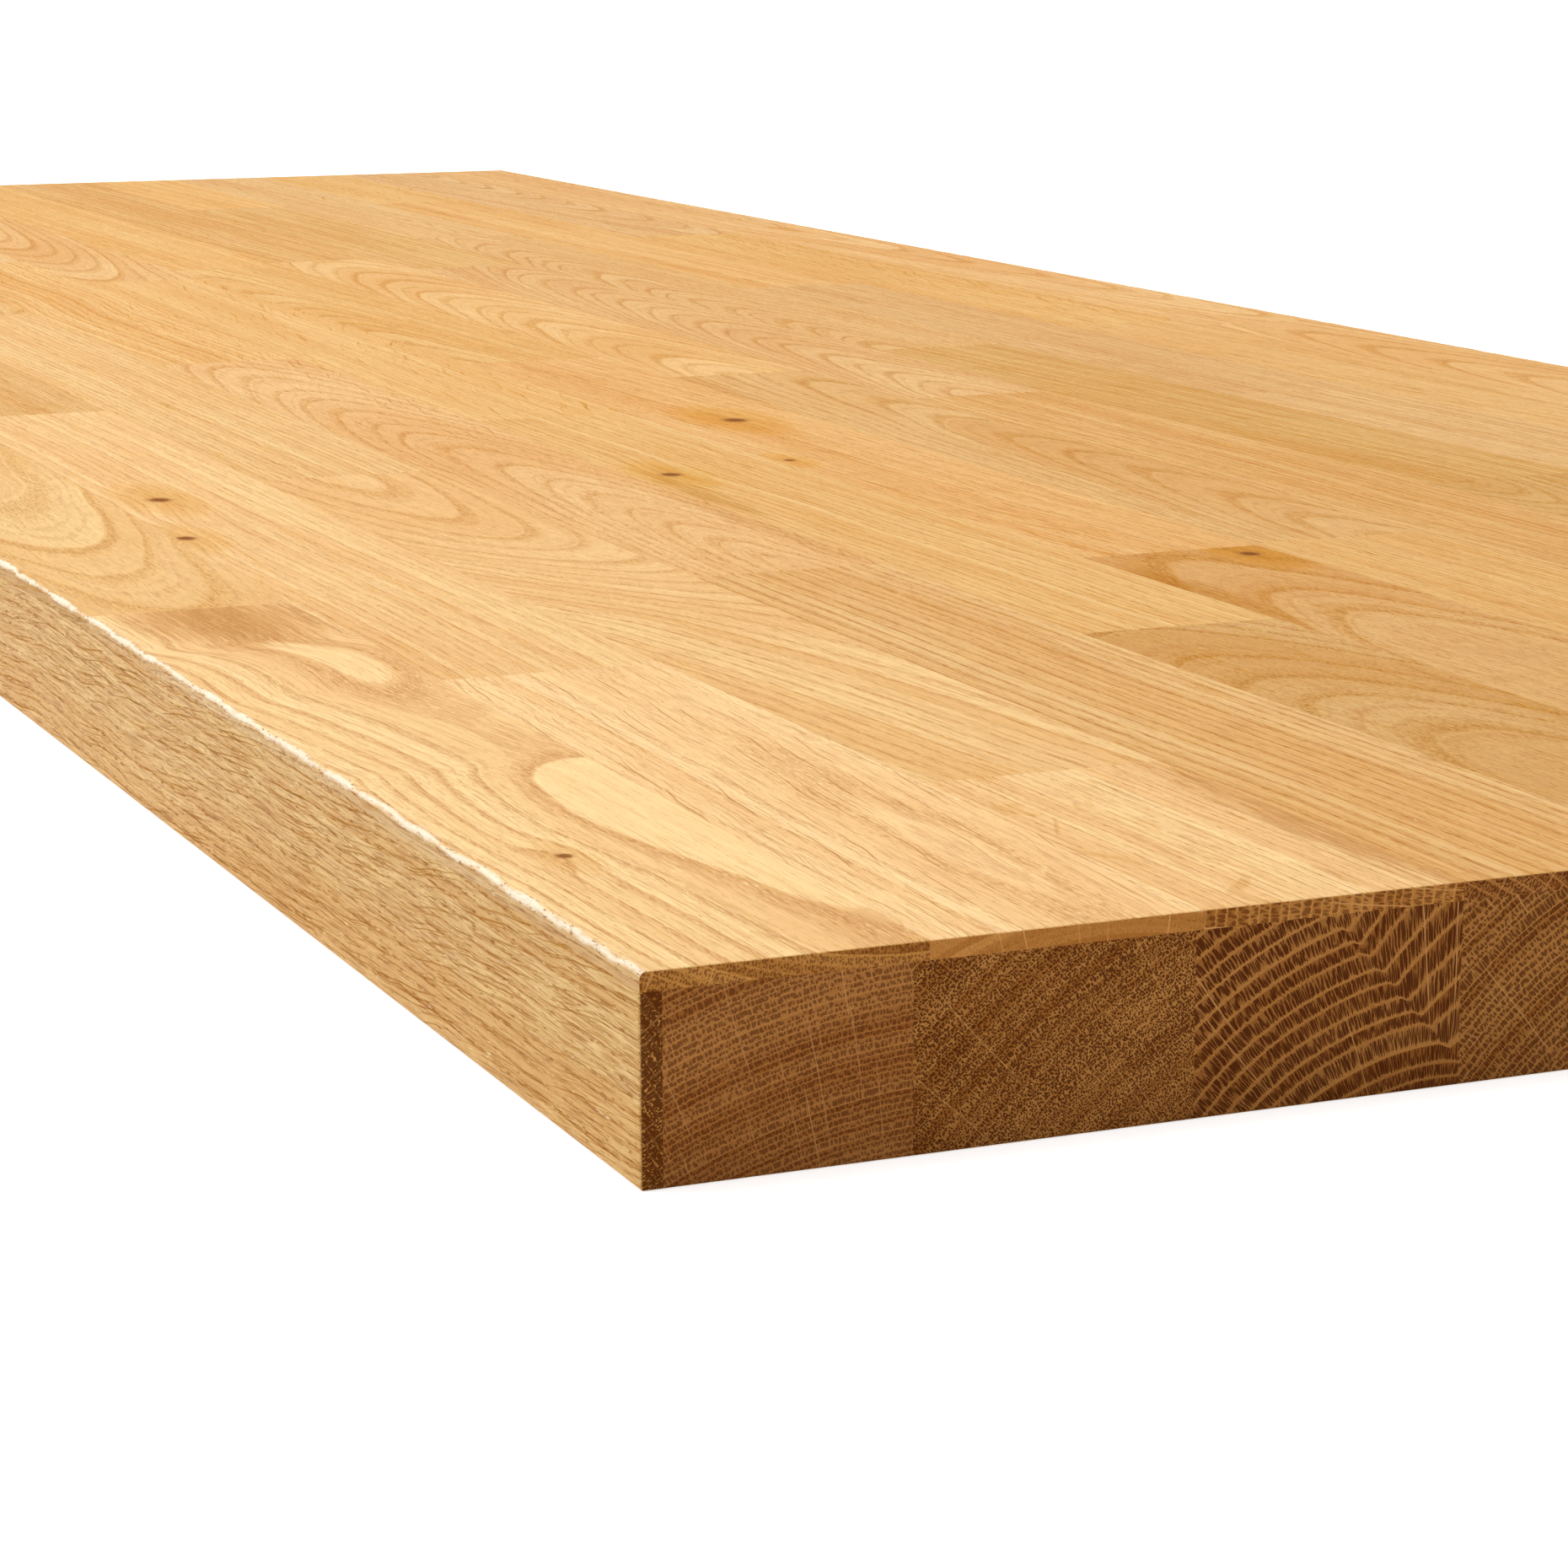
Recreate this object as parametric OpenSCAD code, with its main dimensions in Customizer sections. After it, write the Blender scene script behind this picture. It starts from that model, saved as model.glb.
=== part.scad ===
/* [Board] */
// Length of the board, along its staves
board_l = 1860; // [1200:20:3600]
// Width of the board, across its staves
board_w = 635; // [400:5:1000]
// Thickness of the board
board_t = 38; // [27:1:60]

/* [Staves] */
// Width of a top stave; the last row takes what the board's width leaves
stave_w = 53; // [40:1:90]
// Width of a core stave; the last one takes what the board's width leaves
core_w = 54.5; // [40:0.5:90]
// Width of the first core stave, next to the left edge strip
core_first = 46; // [30:1:90]
// Thickness of the staves that make the wearing face on top
top_t = 3.5; // [2.5:0.5:8]
// Thickness of the strip that closes each long edge below the top staves
strip_t = 4; // [2:0.5:8]
// Shortest stave laid at the far end; less than this is added to the stave before it
shortest = 200; // [100:10:300]
// Glue line between two staves that meet end to end
glue_line = 0.1; // [0.05:0.05:0.3]

/* [Edges] */
// Round of the two long edges of the top
long_round = 1.5; // [0.5:0.1:2]
// Round of the two cross-cut edges of the top
end_round = 0.5; // [0.2:0.1:2]
// Round of the edges of the underside
under_round = 0.8; // [0.2:0.1:2]
// Round of the four upright corners
corner_round = 1; // [0.2:0.1:2]

/* [Hidden] */
$fn = 48;
rows = max(2, round(board_w / stave_w));
core_rows = 1 + max(1, round((board_w - 2 * strip_t - core_first) / core_w));
core_t = board_t - top_t;

// Lengths of the top staves in each row, from the near end. The rows go from the left, and
// both the rows and the lengths in a row start again where they run out.
LAYOUT = [
    [372, 490, 540, 458],
    [258, 512, 405, 470, 215],
    [115, 470, 520, 395, 360],
    [367, 530, 450, 513],
    [253, 440, 535, 380, 252],
    [355, 500, 415, 590],
    [358, 425, 510, 567],
    [210, 480, 545, 390, 235],
    [440, 395, 560, 465],
    [150, 505, 430, 540, 235],
    [325, 560, 475, 500],
    [480, 385, 525, 470]
];

top_colour = "#E8C48E";
core_colour = "#B48350";
strip_colour = "#CDA467";

// Left and right side of row i, with the board's near left corner at the origin
function row_left(i) = (i - 1) * stave_w;
function row_right(i) = i == rows ? board_w : i * stave_w;

// Left and right side of core stave i
function core_left(i) = strip_t + (i == 1 ? 0 : core_first + (i - 2) * core_w);
function core_right(i) = i == core_rows ? board_w - strip_t : core_left(i + 1);

// Near ends of the staves in a row of these lengths
function near_ends(lengths, y = 0, k = 0) =
    y > board_l - shortest ? [] :
    concat([y], near_ends(lengths, y + lengths[k % len(lengths)], k + 1));

// What a round of radius r takes off a square corner at the origin
module corner_waste(r) {
    difference() {
        translate([-1, -1]) square(r + 1);
        translate([r, r]) circle(r);
    }
}

// A rectangle with its two low and its two high corners rounded
module softened(w, h, low, high) {
    difference() {
        square([w, h]);
        for (side = [0, 1]) translate([side * w, 0]) mirror([side, 0]) {
            corner_waste(low);
            translate([0, h]) mirror([0, 1]) corner_waste(high);
        }
    }
}

// The whole board after sanding: its outline from the end, from the side and from above
module sanded_board() {
    intersection() {
        translate([0, board_l, 0]) rotate([90, 0, 0]) linear_extrude(board_l)
            softened(board_w, board_t, under_round, long_round);
        rotate([90, 0, 90]) linear_extrude(board_w)
            softened(board_l, board_t, under_round, end_round);
        linear_extrude(board_t)
            softened(board_w, board_l, corner_round, corner_round);
    }
}

// Puts the origin under the middle of the board, and sands what is given with the board
module in_board() {
    translate([-board_w / 2, -board_l / 2, 0]) intersection() {
        sanded_board();
        union() children();
    }
}

// One row of the wearing face: staves end to end, with a glue line between them
module top_row(i) {
    ends = near_ends(LAYOUT[(i - 1) % len(LAYOUT)]);
    color(top_colour) in_board()
        for (k = [0 : len(ends) - 1]) {
            far = k < len(ends) - 1 ? ends[k + 1] - glue_line : board_l;
            translate([row_left(i), ends[k], core_t])
                cube([row_right(i) - row_left(i), far - ends[k], top_t]);
        }
}

// One full-height stave below the wearing face, as long as the board
module core_stave(i) {
    color(core_colour) in_board()
        translate([core_left(i), 0, 0])
            cube([core_right(i) - core_left(i), board_l, core_t]);
}

// The strip glued over the side of the core, under the edge of the top staves
module edge_strip(left) {
    color(strip_colour) in_board()
        translate([left, 0, 0]) cube([strip_t, board_l, core_t]);
}

for (i = [1 : rows])
    top_row(i);
for (i = [1 : core_rows])
    core_stave(i);
edge_strip(0);  // edge_strip_left
edge_strip(board_w - strip_t);  // edge_strip_right
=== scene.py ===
# %% [markdown]
# # An oak butcher block countertop
# The board is glued up from oak: short staves end to end on top, thick staves below them, and a
# thin strip along each long side. All of it is bare sanded oak, so almost everything that the eye
# sees is wood grain. Grain could be painted as a picture on each face, but then the top, the side
# and the sawn end would not agree. Here each stave is a block cut out of an imagined log, and one
# set of shader groups says what the log holds at every point: rings, pores, rays and knots.

import math
import random

import bmesh
import bpy
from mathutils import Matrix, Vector, noise


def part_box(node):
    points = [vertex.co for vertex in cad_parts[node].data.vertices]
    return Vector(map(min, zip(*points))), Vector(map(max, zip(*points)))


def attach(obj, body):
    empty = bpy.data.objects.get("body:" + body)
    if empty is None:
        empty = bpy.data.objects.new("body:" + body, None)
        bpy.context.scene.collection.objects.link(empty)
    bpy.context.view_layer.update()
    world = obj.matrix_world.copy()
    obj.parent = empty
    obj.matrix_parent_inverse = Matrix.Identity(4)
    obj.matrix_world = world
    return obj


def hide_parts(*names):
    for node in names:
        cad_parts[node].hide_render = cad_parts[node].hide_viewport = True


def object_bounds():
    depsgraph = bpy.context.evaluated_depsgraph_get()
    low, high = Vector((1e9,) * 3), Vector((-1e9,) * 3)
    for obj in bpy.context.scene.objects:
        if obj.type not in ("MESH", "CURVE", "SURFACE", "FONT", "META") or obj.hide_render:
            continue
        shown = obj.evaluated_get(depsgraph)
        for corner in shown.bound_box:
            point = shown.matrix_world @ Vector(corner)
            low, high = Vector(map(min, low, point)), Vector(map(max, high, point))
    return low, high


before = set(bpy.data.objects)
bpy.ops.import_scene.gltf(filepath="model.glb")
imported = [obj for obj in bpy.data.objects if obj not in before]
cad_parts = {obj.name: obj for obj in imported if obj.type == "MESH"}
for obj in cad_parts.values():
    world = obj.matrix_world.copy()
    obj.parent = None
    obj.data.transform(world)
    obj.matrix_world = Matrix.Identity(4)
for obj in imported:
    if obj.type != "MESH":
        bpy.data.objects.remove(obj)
cad_box = [list(corner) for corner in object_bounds()]
low, high = (Vector(corner) for corner in cad_box)
BOARD_W, BOARD_L, BOARD_T = high - low
MM = 1000.0
print(f"board {BOARD_L * MM:.0f} x {BOARD_W * MM:.0f} x {BOARD_T * MM:.0f} mm")

# %% [markdown]
# ## Wiring helper
# A shader is a graph of small nodes. Writing each node and link out in full hides the idea, so
# this helper makes a node, sets or links its inputs, and hands back its output.


# %% A helper that adds nodes to one tree
class Wiring:
    def __init__(self, tree):
        self.tree = tree

    def put(self, kind, inputs=(), **settings):
        node = self.tree.nodes.new(kind)
        for name, value in settings.items():
            setattr(node, name, value)
        for key, value in dict(inputs).items():
            self.feed(node.inputs[key], value)
        return node

    def feed(self, socket, value):
        if isinstance(value, bpy.types.NodeSocket):
            self.tree.links.new(value, socket)
        else:
            socket.default_value = value

    def math(self, operation, *values, clamp=False):
        node = self.put("ShaderNodeMath", enumerate(values), operation=operation, use_clamp=clamp)
        return node.outputs[0]

    def times(self, *values):
        product = values[0]
        for value in values[1:]:
            product = self.math("MULTIPLY", product, value)
        return product

    def centred(self, value):
        return self.math("SUBTRACT", value, 0.5)

    def vector(self, x=0.0, y=0.0, z=0.0):
        return self.put("ShaderNodeCombineXYZ", enumerate((x, y, z))).outputs[0]

    def split(self, vector):
        return self.put("ShaderNodeSeparateXYZ", [(0, vector)]).outputs

    def wave(self, value, detail=1.0):
        """Smooth noise from 0 to 1 along one line."""
        ins = {"W": value, "Scale": 1.0, "Detail": detail}
        return self.put("ShaderNodeTexNoise", ins, noise_dimensions="1D").outputs["Fac"]

    def noise(self, vector, detail=1.0, rough=0.5):
        """Smooth noise from 0 to 1 in space."""
        ins = {"Vector": vector, "Scale": 1.0, "Detail": detail, "Roughness": rough}
        return self.put("ShaderNodeTexNoise", ins).outputs["Fac"]

    def ramp(self, value, start, end, low=0.0, high=1.0):
        """Goes smoothly from low to high while value goes from start to end."""
        ins = enumerate((value, start, end, low, high))
        node = self.put("ShaderNodeMapRange", ins, interpolation_type="SMOOTHSTEP")
        return node.outputs[0]

    def mix(self, share, a, b):
        node = self.put("ShaderNodeMix", data_type="RGBA")
        for socket, value in zip((node.inputs[0], node.inputs[6], node.inputs[7]), (share, a, b)):
            self.feed(socket, value)
        return node.outputs[2]


# %% A helper that starts a node group
KINDS = {"value": "NodeSocketFloat", "vector": "NodeSocketVector"}


def start_group(name, inputs, outputs):
    """inputs is {name: default} and outputs {name: kind}. A default of three numbers is a vector."""
    tree = bpy.data.node_groups.new(name, "ShaderNodeTree")
    for label, default in inputs.items():
        kind = "vector" if isinstance(default, tuple) else "value"
        socket = tree.interface.new_socket(label, in_out="INPUT", socket_type=KINDS[kind])
        socket.default_value = default
    for label, kind in outputs.items():
        tree.interface.new_socket(label, in_out="OUTPUT", socket_type=KINDS[kind])
    wire = Wiring(tree)
    given = wire.put("NodeGroupInput").outputs
    result = wire.put("NodeGroupOutput").inputs
    return wire, given, result


def place(wire, group_name, **inputs):
    """Puts a group in a tree. An input called ring_width feeds the socket Ring Width."""
    node = wire.put("ShaderNodeGroup")
    node.node_tree = bpy.data.node_groups[group_name]
    for name, value in inputs.items():
        wire.feed(node.inputs[name.replace("_", " ").title()], value)
    return node.outputs


def srgb(red, green, blue):
    """A colour read off a screen, 0 to 255, as the linear colour that a shader wants."""
    parts = [c / 255 for c in (red, green, blue)]
    line = [c / 12.92 if c <= 0.04045 else ((c + 0.055) / 1.055) ** 2.4 for c in parts]
    return (*line, 1.0)


# %% [markdown]
# ## The log
# A stave keeps the grain of the log that it was sawn from. What matters is where the log's heart,
# the pith, lies beside the stave. With the pith far to one side the rings cross the top as
# straight lines. With it right below or above, the rings meet the top at a low angle and make the
# arches that joiners call cathedrals. This group turns a place on the board into log terms: the
# distance from the pith, the distance round it, and the distance along it, in millimetres. A
# scar is an old wound that leans to the left as it rises, and beyond it the rings have dropped
# and slope the other way.

# %% Group: a place in the log
wire, given, result = start_group(
    "Place In The Log",
    {
        "Pith": (0.0, 0.0, 0.0),
        "Twist": 0.0,
        "Reach": 60.0,
        "Wander": 1.0,
        "Scar": (0.0, 0.0, 0.0),
        "Seed": 0.0,
    },
    {"Place": "vector", "Grain": "vector", "Radius": "value", "Around": "value", "Along": "value"},
)
metres = wire.put("ShaderNodeTexCoord").outputs["Object"]
here = wire.put("ShaderNodeVectorMath", [(0, metres), (1, (MM, MM, MM))], operation="MULTIPLY")
x, y, z = wire.split(here.outputs[0])
pith_x, middle_y, pith_z = wire.split(given["Pith"])
from_middle = wire.math("SUBTRACT", y, middle_y)
own_y = wire.math("MULTIPLY_ADD", given["Seed"], 353.0, y)


def wavering(start, far, amount):
    """A line of the pith that also wavers a little, with a wave of its own."""
    wave = wire.centred(wire.wave(wire.math("MULTIPLY_ADD", own_y, 0.006, far), detail=2.0))
    return wire.math("ADD", start, wire.times(wave, given["Wander"], amount))


across = wire.math("SUBTRACT", x, wavering(pith_x, 0.0, 16.0))
up = wire.math("SUBTRACT", z, wavering(pith_z, 77.0, 9.0))
squares = wire.math("ADD", wire.times(across, across), wire.times(up, up))
radius = wire.math("SQRT", squares)
bump = wire.noise(wire.vector(wire.times(x, 0.05), wire.times(own_y, 0.012), wire.times(z, 0.05)), detail=2.0)
radius = wire.math("ADD", radius, wire.times(wire.centred(bump), given["Wander"], 5.0))
scar_x, scar_drop, scar_slope = wire.split(given["Scar"])
past = wire.math("SUBTRACT", wire.math("MULTIPLY_ADD", z, 0.9, x), scar_x)
radius = wire.math("MULTIPLY_ADD", wire.ramp(past, -1.2, 0.8), scar_drop, radius)
radius = wire.math("MULTIPLY_ADD", wire.math("MAXIMUM", past, 0.0), scar_slope, radius)
facing = wire.times(up, wire.math("SIGN", given["Reach"]))
angle = wire.math("ARCTAN2", across, facing)
arc = wire.times(angle, wire.math("ABSOLUTE", given["Reach"]))
around = wire.math("MULTIPLY_ADD", given["Twist"], from_middle, arc)
wire.feed(result["Place"], here.outputs[0])
wire.feed(result["Grain"], wire.vector(across, own_y, up))
wire.feed(result["Radius"], radius)
wire.feed(result["Around"], around)
wire.feed(result["Along"], own_y)
print("group", wire.tree.name, "has", len(wire.tree.nodes), "nodes")

# %% [markdown]
# ## Knots
# A pin knot is a twig that the trunk grew round. It is a small dark disc on the face, and the
# rings swerve past it. The swerve has to come before the rings are drawn, so this group gives
# both the knot's own masks and a push that is added to the distance from the pith.

# %% Group: pin knot
wire, given, result = start_group(
    "Pin Knot",
    {"Place": (0.0, 0.0, 0.0), "Knot": (0.0, 0.0, 0.0)},
    {"Push": "value", "Halo": "value", "Heart": "value", "Rim": "value"},
)
x, y, z = wire.split(given["Place"])
knot_x, knot_y, size = wire.split(given["Knot"])
safe = wire.math("MAXIMUM", size, 0.01)
edge = wire.noise(given["Place"], detail=1.0)
side = wire.math("DIVIDE", wire.math("SUBTRACT", x, knot_x), safe)
ahead = wire.math("DIVIDE", wire.math("SUBTRACT", y, knot_y), safe)
is_there = wire.math("GREATER_THAN", size, 0.05)


def disc(stretch, inner, outer):
    """1 inside a stretched disc round the knot, 0 outside, with a ragged border."""
    long = wire.math("DIVIDE", ahead, stretch)
    far = wire.math("SQRT", wire.math("ADD", wire.times(side, side), wire.times(long, long)))
    ragged = wire.math("MULTIPLY_ADD", wire.centred(edge), 0.7, far)
    return wire.times(wire.ramp(ragged, inner, outer, 1.0, 0.0), is_there)


wire.feed(result["Heart"], disc(1.25, 0.75, 1.1))
wire.feed(result["Rim"], wire.math("SUBTRACT", disc(1.3, 1.1, 1.6), disc(1.2, 0.3, 0.9), clamp=True))
wire.feed(result["Halo"], disc(2.6, 1.0, 5.0))
wire.feed(result["Push"], wire.times(disc(3.0, 0.2, 5.5), safe, 1.1))
print("group", wire.tree.name, "has", len(wire.tree.nodes), "nodes")

# %% [markdown]
# ## Brown stains
# Near a knot or along a check the heartwood is often stained, and the saw leaves that as a brown
# patch, most often a long streak on one side of the stave. It is an ellipse with a ragged, fading
# border, and its size is half its width, half its length and its strength.

# %% Group: brown stain
wire, given, result = start_group(
    "Brown Stain",
    {"Place": (0.0, 0.0, 0.0), "Stain": (0.0, 0.0, 0.0), "Stain Size": (5.0, 50.0, 0.0)},
    {"Stained": "value"},
)
x, y, z = wire.split(given["Place"])
stain_x, stain_y, _ = wire.split(given["Stain"])
half_width, half_length, strength = wire.split(given["Stain Size"])
side = wire.math("DIVIDE", wire.math("SUBTRACT", x, stain_x), wire.math("MAXIMUM", half_width, 1.0))
ahead = wire.math("DIVIDE", wire.math("SUBTRACT", y, stain_y), wire.math("MAXIMUM", half_length, 1.0))
far = wire.math("SQRT", wire.math("ADD", wire.times(side, side), wire.times(ahead, ahead)))
fray = wire.noise(wire.vector(wire.times(x, 0.9), wire.times(y, 0.02)), detail=2.0, rough=0.6)
far = wire.math("MULTIPLY_ADD", wire.centred(fray), 1.6, far)
wire.feed(result["Stained"], wire.times(wire.ramp(far, 0.3, 1.1, 1.0, 0.0), strength))
print("group", wire.tree.name, "has", len(wire.tree.nodes), "nodes")

# %% [markdown]
# ## Growth rings
# Each year an oak lays down early wood, full of wide pores, and then dense late wood. The change
# from last year's late wood to this year's early wood is sharp and the change back is slow, so a
# ring has one hard edge. Years differ, so the spacing and the tone of the rings differ too. The
# first stave is pale and plain inside one ring, so a radius can be given below which no early
# wood shows. Fine lines inside each ring follow its curve.

# %% Group: growth rings
wire, given, result = start_group(
    "Growth Rings",
    {"Radius": 0.0, "Ring Width": 2.5, "Heartwood": 0.0, "Wander": 1.0, "Seed": 0.0},
    {"Early Wood": "value", "Lines": "value", "Share": "value", "Years": "value", "Year Tone": "value"},
)
even = wire.math("DIVIDE", given["Radius"], given["Ring Width"])
drift = wire.wave(wire.math("MULTIPLY_ADD", even, 0.45, wire.times(given["Seed"], 7.3)))
years = wire.math("ADD", even, wire.times(wire.centred(drift), given["Wander"], 4.0))
year = wire.math("FLOOR", years)
share = wire.math("FRACT", years)
start = wire.ramp(share, 0.0, 0.08)
fade = wire.ramp(share, 0.08, 0.46, 1.0, 0.0)
number = wire.math("MULTIPLY_ADD", given["Seed"], 31.7, year)
dice = wire.put("ShaderNodeTexWhiteNoise", {"W": number}, noise_dimensions="1D")
inside = wire.math("SUBTRACT", given["Radius"], given["Heartwood"])
wire.feed(result["Early Wood"], wire.times(start, fade, wire.ramp(inside, -0.1, 0.0)))
fine = wire.wave(wire.times(years, 5.5), detail=2.0)
wire.feed(result["Lines"], wire.times(wire.ramp(fine, 0.48, 0.7), wire.ramp(inside, -0.5, 0.0)))
wire.feed(result["Share"], share)
wire.feed(result["Years"], years)
wire.feed(result["Year Tone"], dice.outputs["Value"])
print("group", wire.tree.name, "has", len(wire.tree.nodes), "nodes")

# %% [markdown]
# ## Pores and fibres
# Oak's pores are tubes that run along the log. Cut along, they show as fine dark dashes a few
# millimetres long. Cut across, they are dots. Noise that is drawn out along the grain gives both,
# because each face slices it its own way, and a threshold turns its peaks into pores. The early
# wood has the most, so there the threshold is lower. Strands are rows of pores end to end, which
# read as crisp thin lines. Broader noise makes fibres and streaks.

# %% Group: pores and fibres
wire, given, result = start_group(
    "Pores And Fibres",
    {"Grain": (0.0, 0.0, 0.0), "Early Wood": 0.0},
    {"Pore": "value", "Painted Glint": "value", "Strand": "value", "Fibre": "value", "Streak": "value"},
)
across, along, up = wire.split(given["Grain"])


def drawn_out(width, length):
    """A place measured in widths across the grain and lengths along it."""
    parts = (across, width), (along, length), (up, width)
    return wire.vector(*(wire.math("DIVIDE", value, unit) for value, unit in parts))


tubes = wire.noise(drawn_out(0.26, 3.4), detail=1.0)
open_at = wire.math("MULTIPLY_ADD", given["Early Wood"], -0.1, 0.63)
wire.feed(result["Pore"], wire.ramp(tubes, open_at, wire.math("ADD", open_at, 0.12)))
# Glint: pale specks from the low tail of the pore noise. They are a painted highlight, put where light would
# catch the fibres.
shut_at = wire.math("MULTIPLY_ADD", given["Early Wood"], 0.08, 0.27)
wire.feed(result["Painted Glint"], wire.ramp(tubes, wire.math("SUBTRACT", shut_at, 0.06), shut_at, 1.0, 0.0))
strand = wire.noise(drawn_out(0.4, 21.0), detail=1.0, rough=0.6)
strand_at = wire.math("MULTIPLY_ADD", given["Early Wood"], -0.08, 0.6)
wire.feed(result["Strand"], wire.ramp(strand, strand_at, wire.math("ADD", strand_at, 0.07)))
fibre = wire.noise(drawn_out(0.5, 13.0), detail=3.0, rough=0.7)
wire.feed(result["Fibre"], wire.ramp(fibre, 0.32, 0.68))
streak = wire.noise(drawn_out(2.2, 110.0), detail=2.0, rough=0.6)
wire.feed(result["Streak"], wire.ramp(streak, 0.32, 0.68))
print("group", wire.tree.name, "has", len(wire.tree.nodes), "nodes")

# %% [markdown]
# ## Rays
# Rays are sheets of tissue that stand out from the pith like the blades of a paddle wheel. On the
# sawn end they are thin pale straight lines, and where a face cuts through their edges they are
# dark hairlines a few centimetres long, at a slant where the log was twisted. Each cell of a
# cell pattern holds one sheet, thin round the pith and tapering to its tips.

# %% Group: rays
wire, given, result = start_group(
    "Rays",
    {"Radius": 0.0, "Around": 0.0, "Along": 0.0, "Spacing": 3.0},
    {"Hairline": "value", "Ray": "value"},
)
slow = wire.vector(wire.times(given["Radius"], 0.03), wire.times(given["Along"], 0.03), 4.0)
quick = wire.vector(wire.times(given["Around"], 0.3), wire.times(given["Along"], 0.11), 8.0)
swayed = wire.math("MULTIPLY_ADD", wire.noise(slow, detail=1.0), 3.0, given["Around"])
swayed = wire.math("MULTIPLY_ADD", wire.noise(quick), 0.6, swayed)


def sheets(spacing, height, depth):
    """Thin sheets: how far off the nearest one is, and how strong it is here."""
    spot = wire.vector(
        wire.math("DIVIDE", swayed, spacing),
        wire.math("DIVIDE", given["Along"], height),
        wire.math("DIVIDE", given["Radius"], depth),
    )
    cell = wire.put("ShaderNodeTexVoronoi", {"Vector": spot, "Scale": 1.0}).outputs
    apart = wire.put("ShaderNodeVectorMath", [(0, spot), (1, cell["Position"])], operation="SUBTRACT")
    off, before, deep = wire.split(apart.outputs[0])
    off = wire.times(wire.math("ABSOLUTE", off), spacing)
    taper = wire.ramp(wire.math("ABSOLUTE", before), 0.1, 0.5, 1.0, 0.0)
    taper = wire.times(taper, wire.ramp(wire.math("ABSOLUTE", deep), 0.3, 0.6, 1.0, 0.0))
    return off, taper, wire.ramp(wire.split(cell["Color"])[1], 0.15, 0.8)


off, taper, kept = sheets(given["Spacing"], 42.0, 30.0)
thick = wire.math("MULTIPLY_ADD", taper, 0.16, 0.06)
line = wire.ramp(off, wire.times(thick, 0.35), thick, 1.0, 0.0)
long_line = wire.times(line, kept, wire.ramp(taper, 0.0, 0.5))
off, taper, kept = sheets(wire.times(given["Spacing"], 0.62), 17.0, 19.0)
short_line = wire.times(wire.ramp(off, 0.04, 0.16, 1.0, 0.0), kept, wire.ramp(taper, 0.0, 0.6), 0.7)
wire.feed(result["Hairline"], wire.math("MAXIMUM", long_line, short_line))
off, taper, kept = sheets(wire.times(given["Spacing"], 1.1), 30.0, 26.0)
wire.feed(result["Ray"], wire.times(wire.ramp(off, 0.05, 0.19, 1.0, 0.0), kept, taper))
print("group", wire.tree.name, "has", len(wire.tree.nodes), "nodes")

# %% [markdown]
# ## Flames on the sawn end
# Between the rays, the late wood of a sawn end shows dark flames: short strokes that point at the
# pith and are cut off by each ring's pale line of early wood. They come from a cell pattern that
# is measured in strokes round the pith and in rows of strokes to a ring, with a fresh start in
# every ring. Each cell's middle is one dark stroke, and the borders between cells are the pale net.

# %% Group: flames
wire, given, result = start_group(
    "Flames",
    {
        "Radius": 0.0,
        "Around": 0.0,
        "Share": 0.0,
        "Years": 0.0,
        "Stroke": (0.5, 1.0, 1.0),
        "Fill": 0.5,
    },
    {"Flame": "value", "Late": "value", "Pale Line": "value"},
)
wide, rows, banding = wire.split(given["Stroke"])
cloud = wire.noise(wire.vector(wire.times(given["Around"], 0.12), wire.times(given["Radius"], 0.12), 3.0))
sway = wire.noise(wire.vector(wire.times(given["Around"], 0.9), wire.times(given["Radius"], 0.7), 6.0))
skew = wire.times(wire.math("FLOOR", given["Years"]), banding, 9.7)
round_it = wire.math("MULTIPLY_ADD", wire.centred(sway), 1.3, wire.math("DIVIDE", given["Around"], wide))
outwards = wire.math("SUBTRACT", wire.times(given["Years"], rows), 0.15)
spot = wire.vector(wire.math("ADD", round_it, skew), outwards)
ins = {"Vector": spot, "Scale": 1.0, "Randomness": 0.8}
cell = wire.put("ShaderNodeTexVoronoi", ins, voronoi_dimensions="2D").outputs
uneven = wire.centred(wire.split(cell["Color"])[0])
late = wire.times(wire.ramp(given["Share"], 0.08, 0.26), wire.ramp(given["Share"], 0.88, 1.0, 1.0, 0.6))
level = wire.math("SUBTRACT", 1.0, cell["Distance"])
level = wire.math("MULTIPLY_ADD", wire.times(wire.math("SUBTRACT", late, 1.0), banding), 0.32, level)
level = wire.math("MULTIPLY_ADD", uneven, 0.16, level)
level = wire.math("MULTIPLY_ADD", wire.centred(cloud), 0.3, level)
level = wire.math("MULTIPLY_ADD", wire.centred(given["Fill"]), 0.9, level)
wire.feed(result["Flame"], wire.ramp(level, 0.56, 0.72))
wire.feed(result["Late"], wire.times(late, banding))
beads = wire.math("MULTIPLY_ADD", wire.math("SUBTRACT", cell["Distance"], 0.4), -0.3, given["Share"])
pale = wire.times(wire.ramp(beads, -0.04, 0.04), wire.ramp(beads, 0.1, 0.28, 1.0, 0.0))
wire.feed(result["Pale Line"], wire.times(pale, banding))
print("group", wire.tree.name, "has", len(wire.tree.nodes), "nodes")

# %% [markdown]
# ## Sanded arris
# The long top edges were eased with sandpaper after the finish went on, so the corner is bare,
# pale and a little torn, with dark pores left open along its border. The mask is a ragged band
# round the corner line, whose width on the top and on the side waver each by itself.

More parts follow.
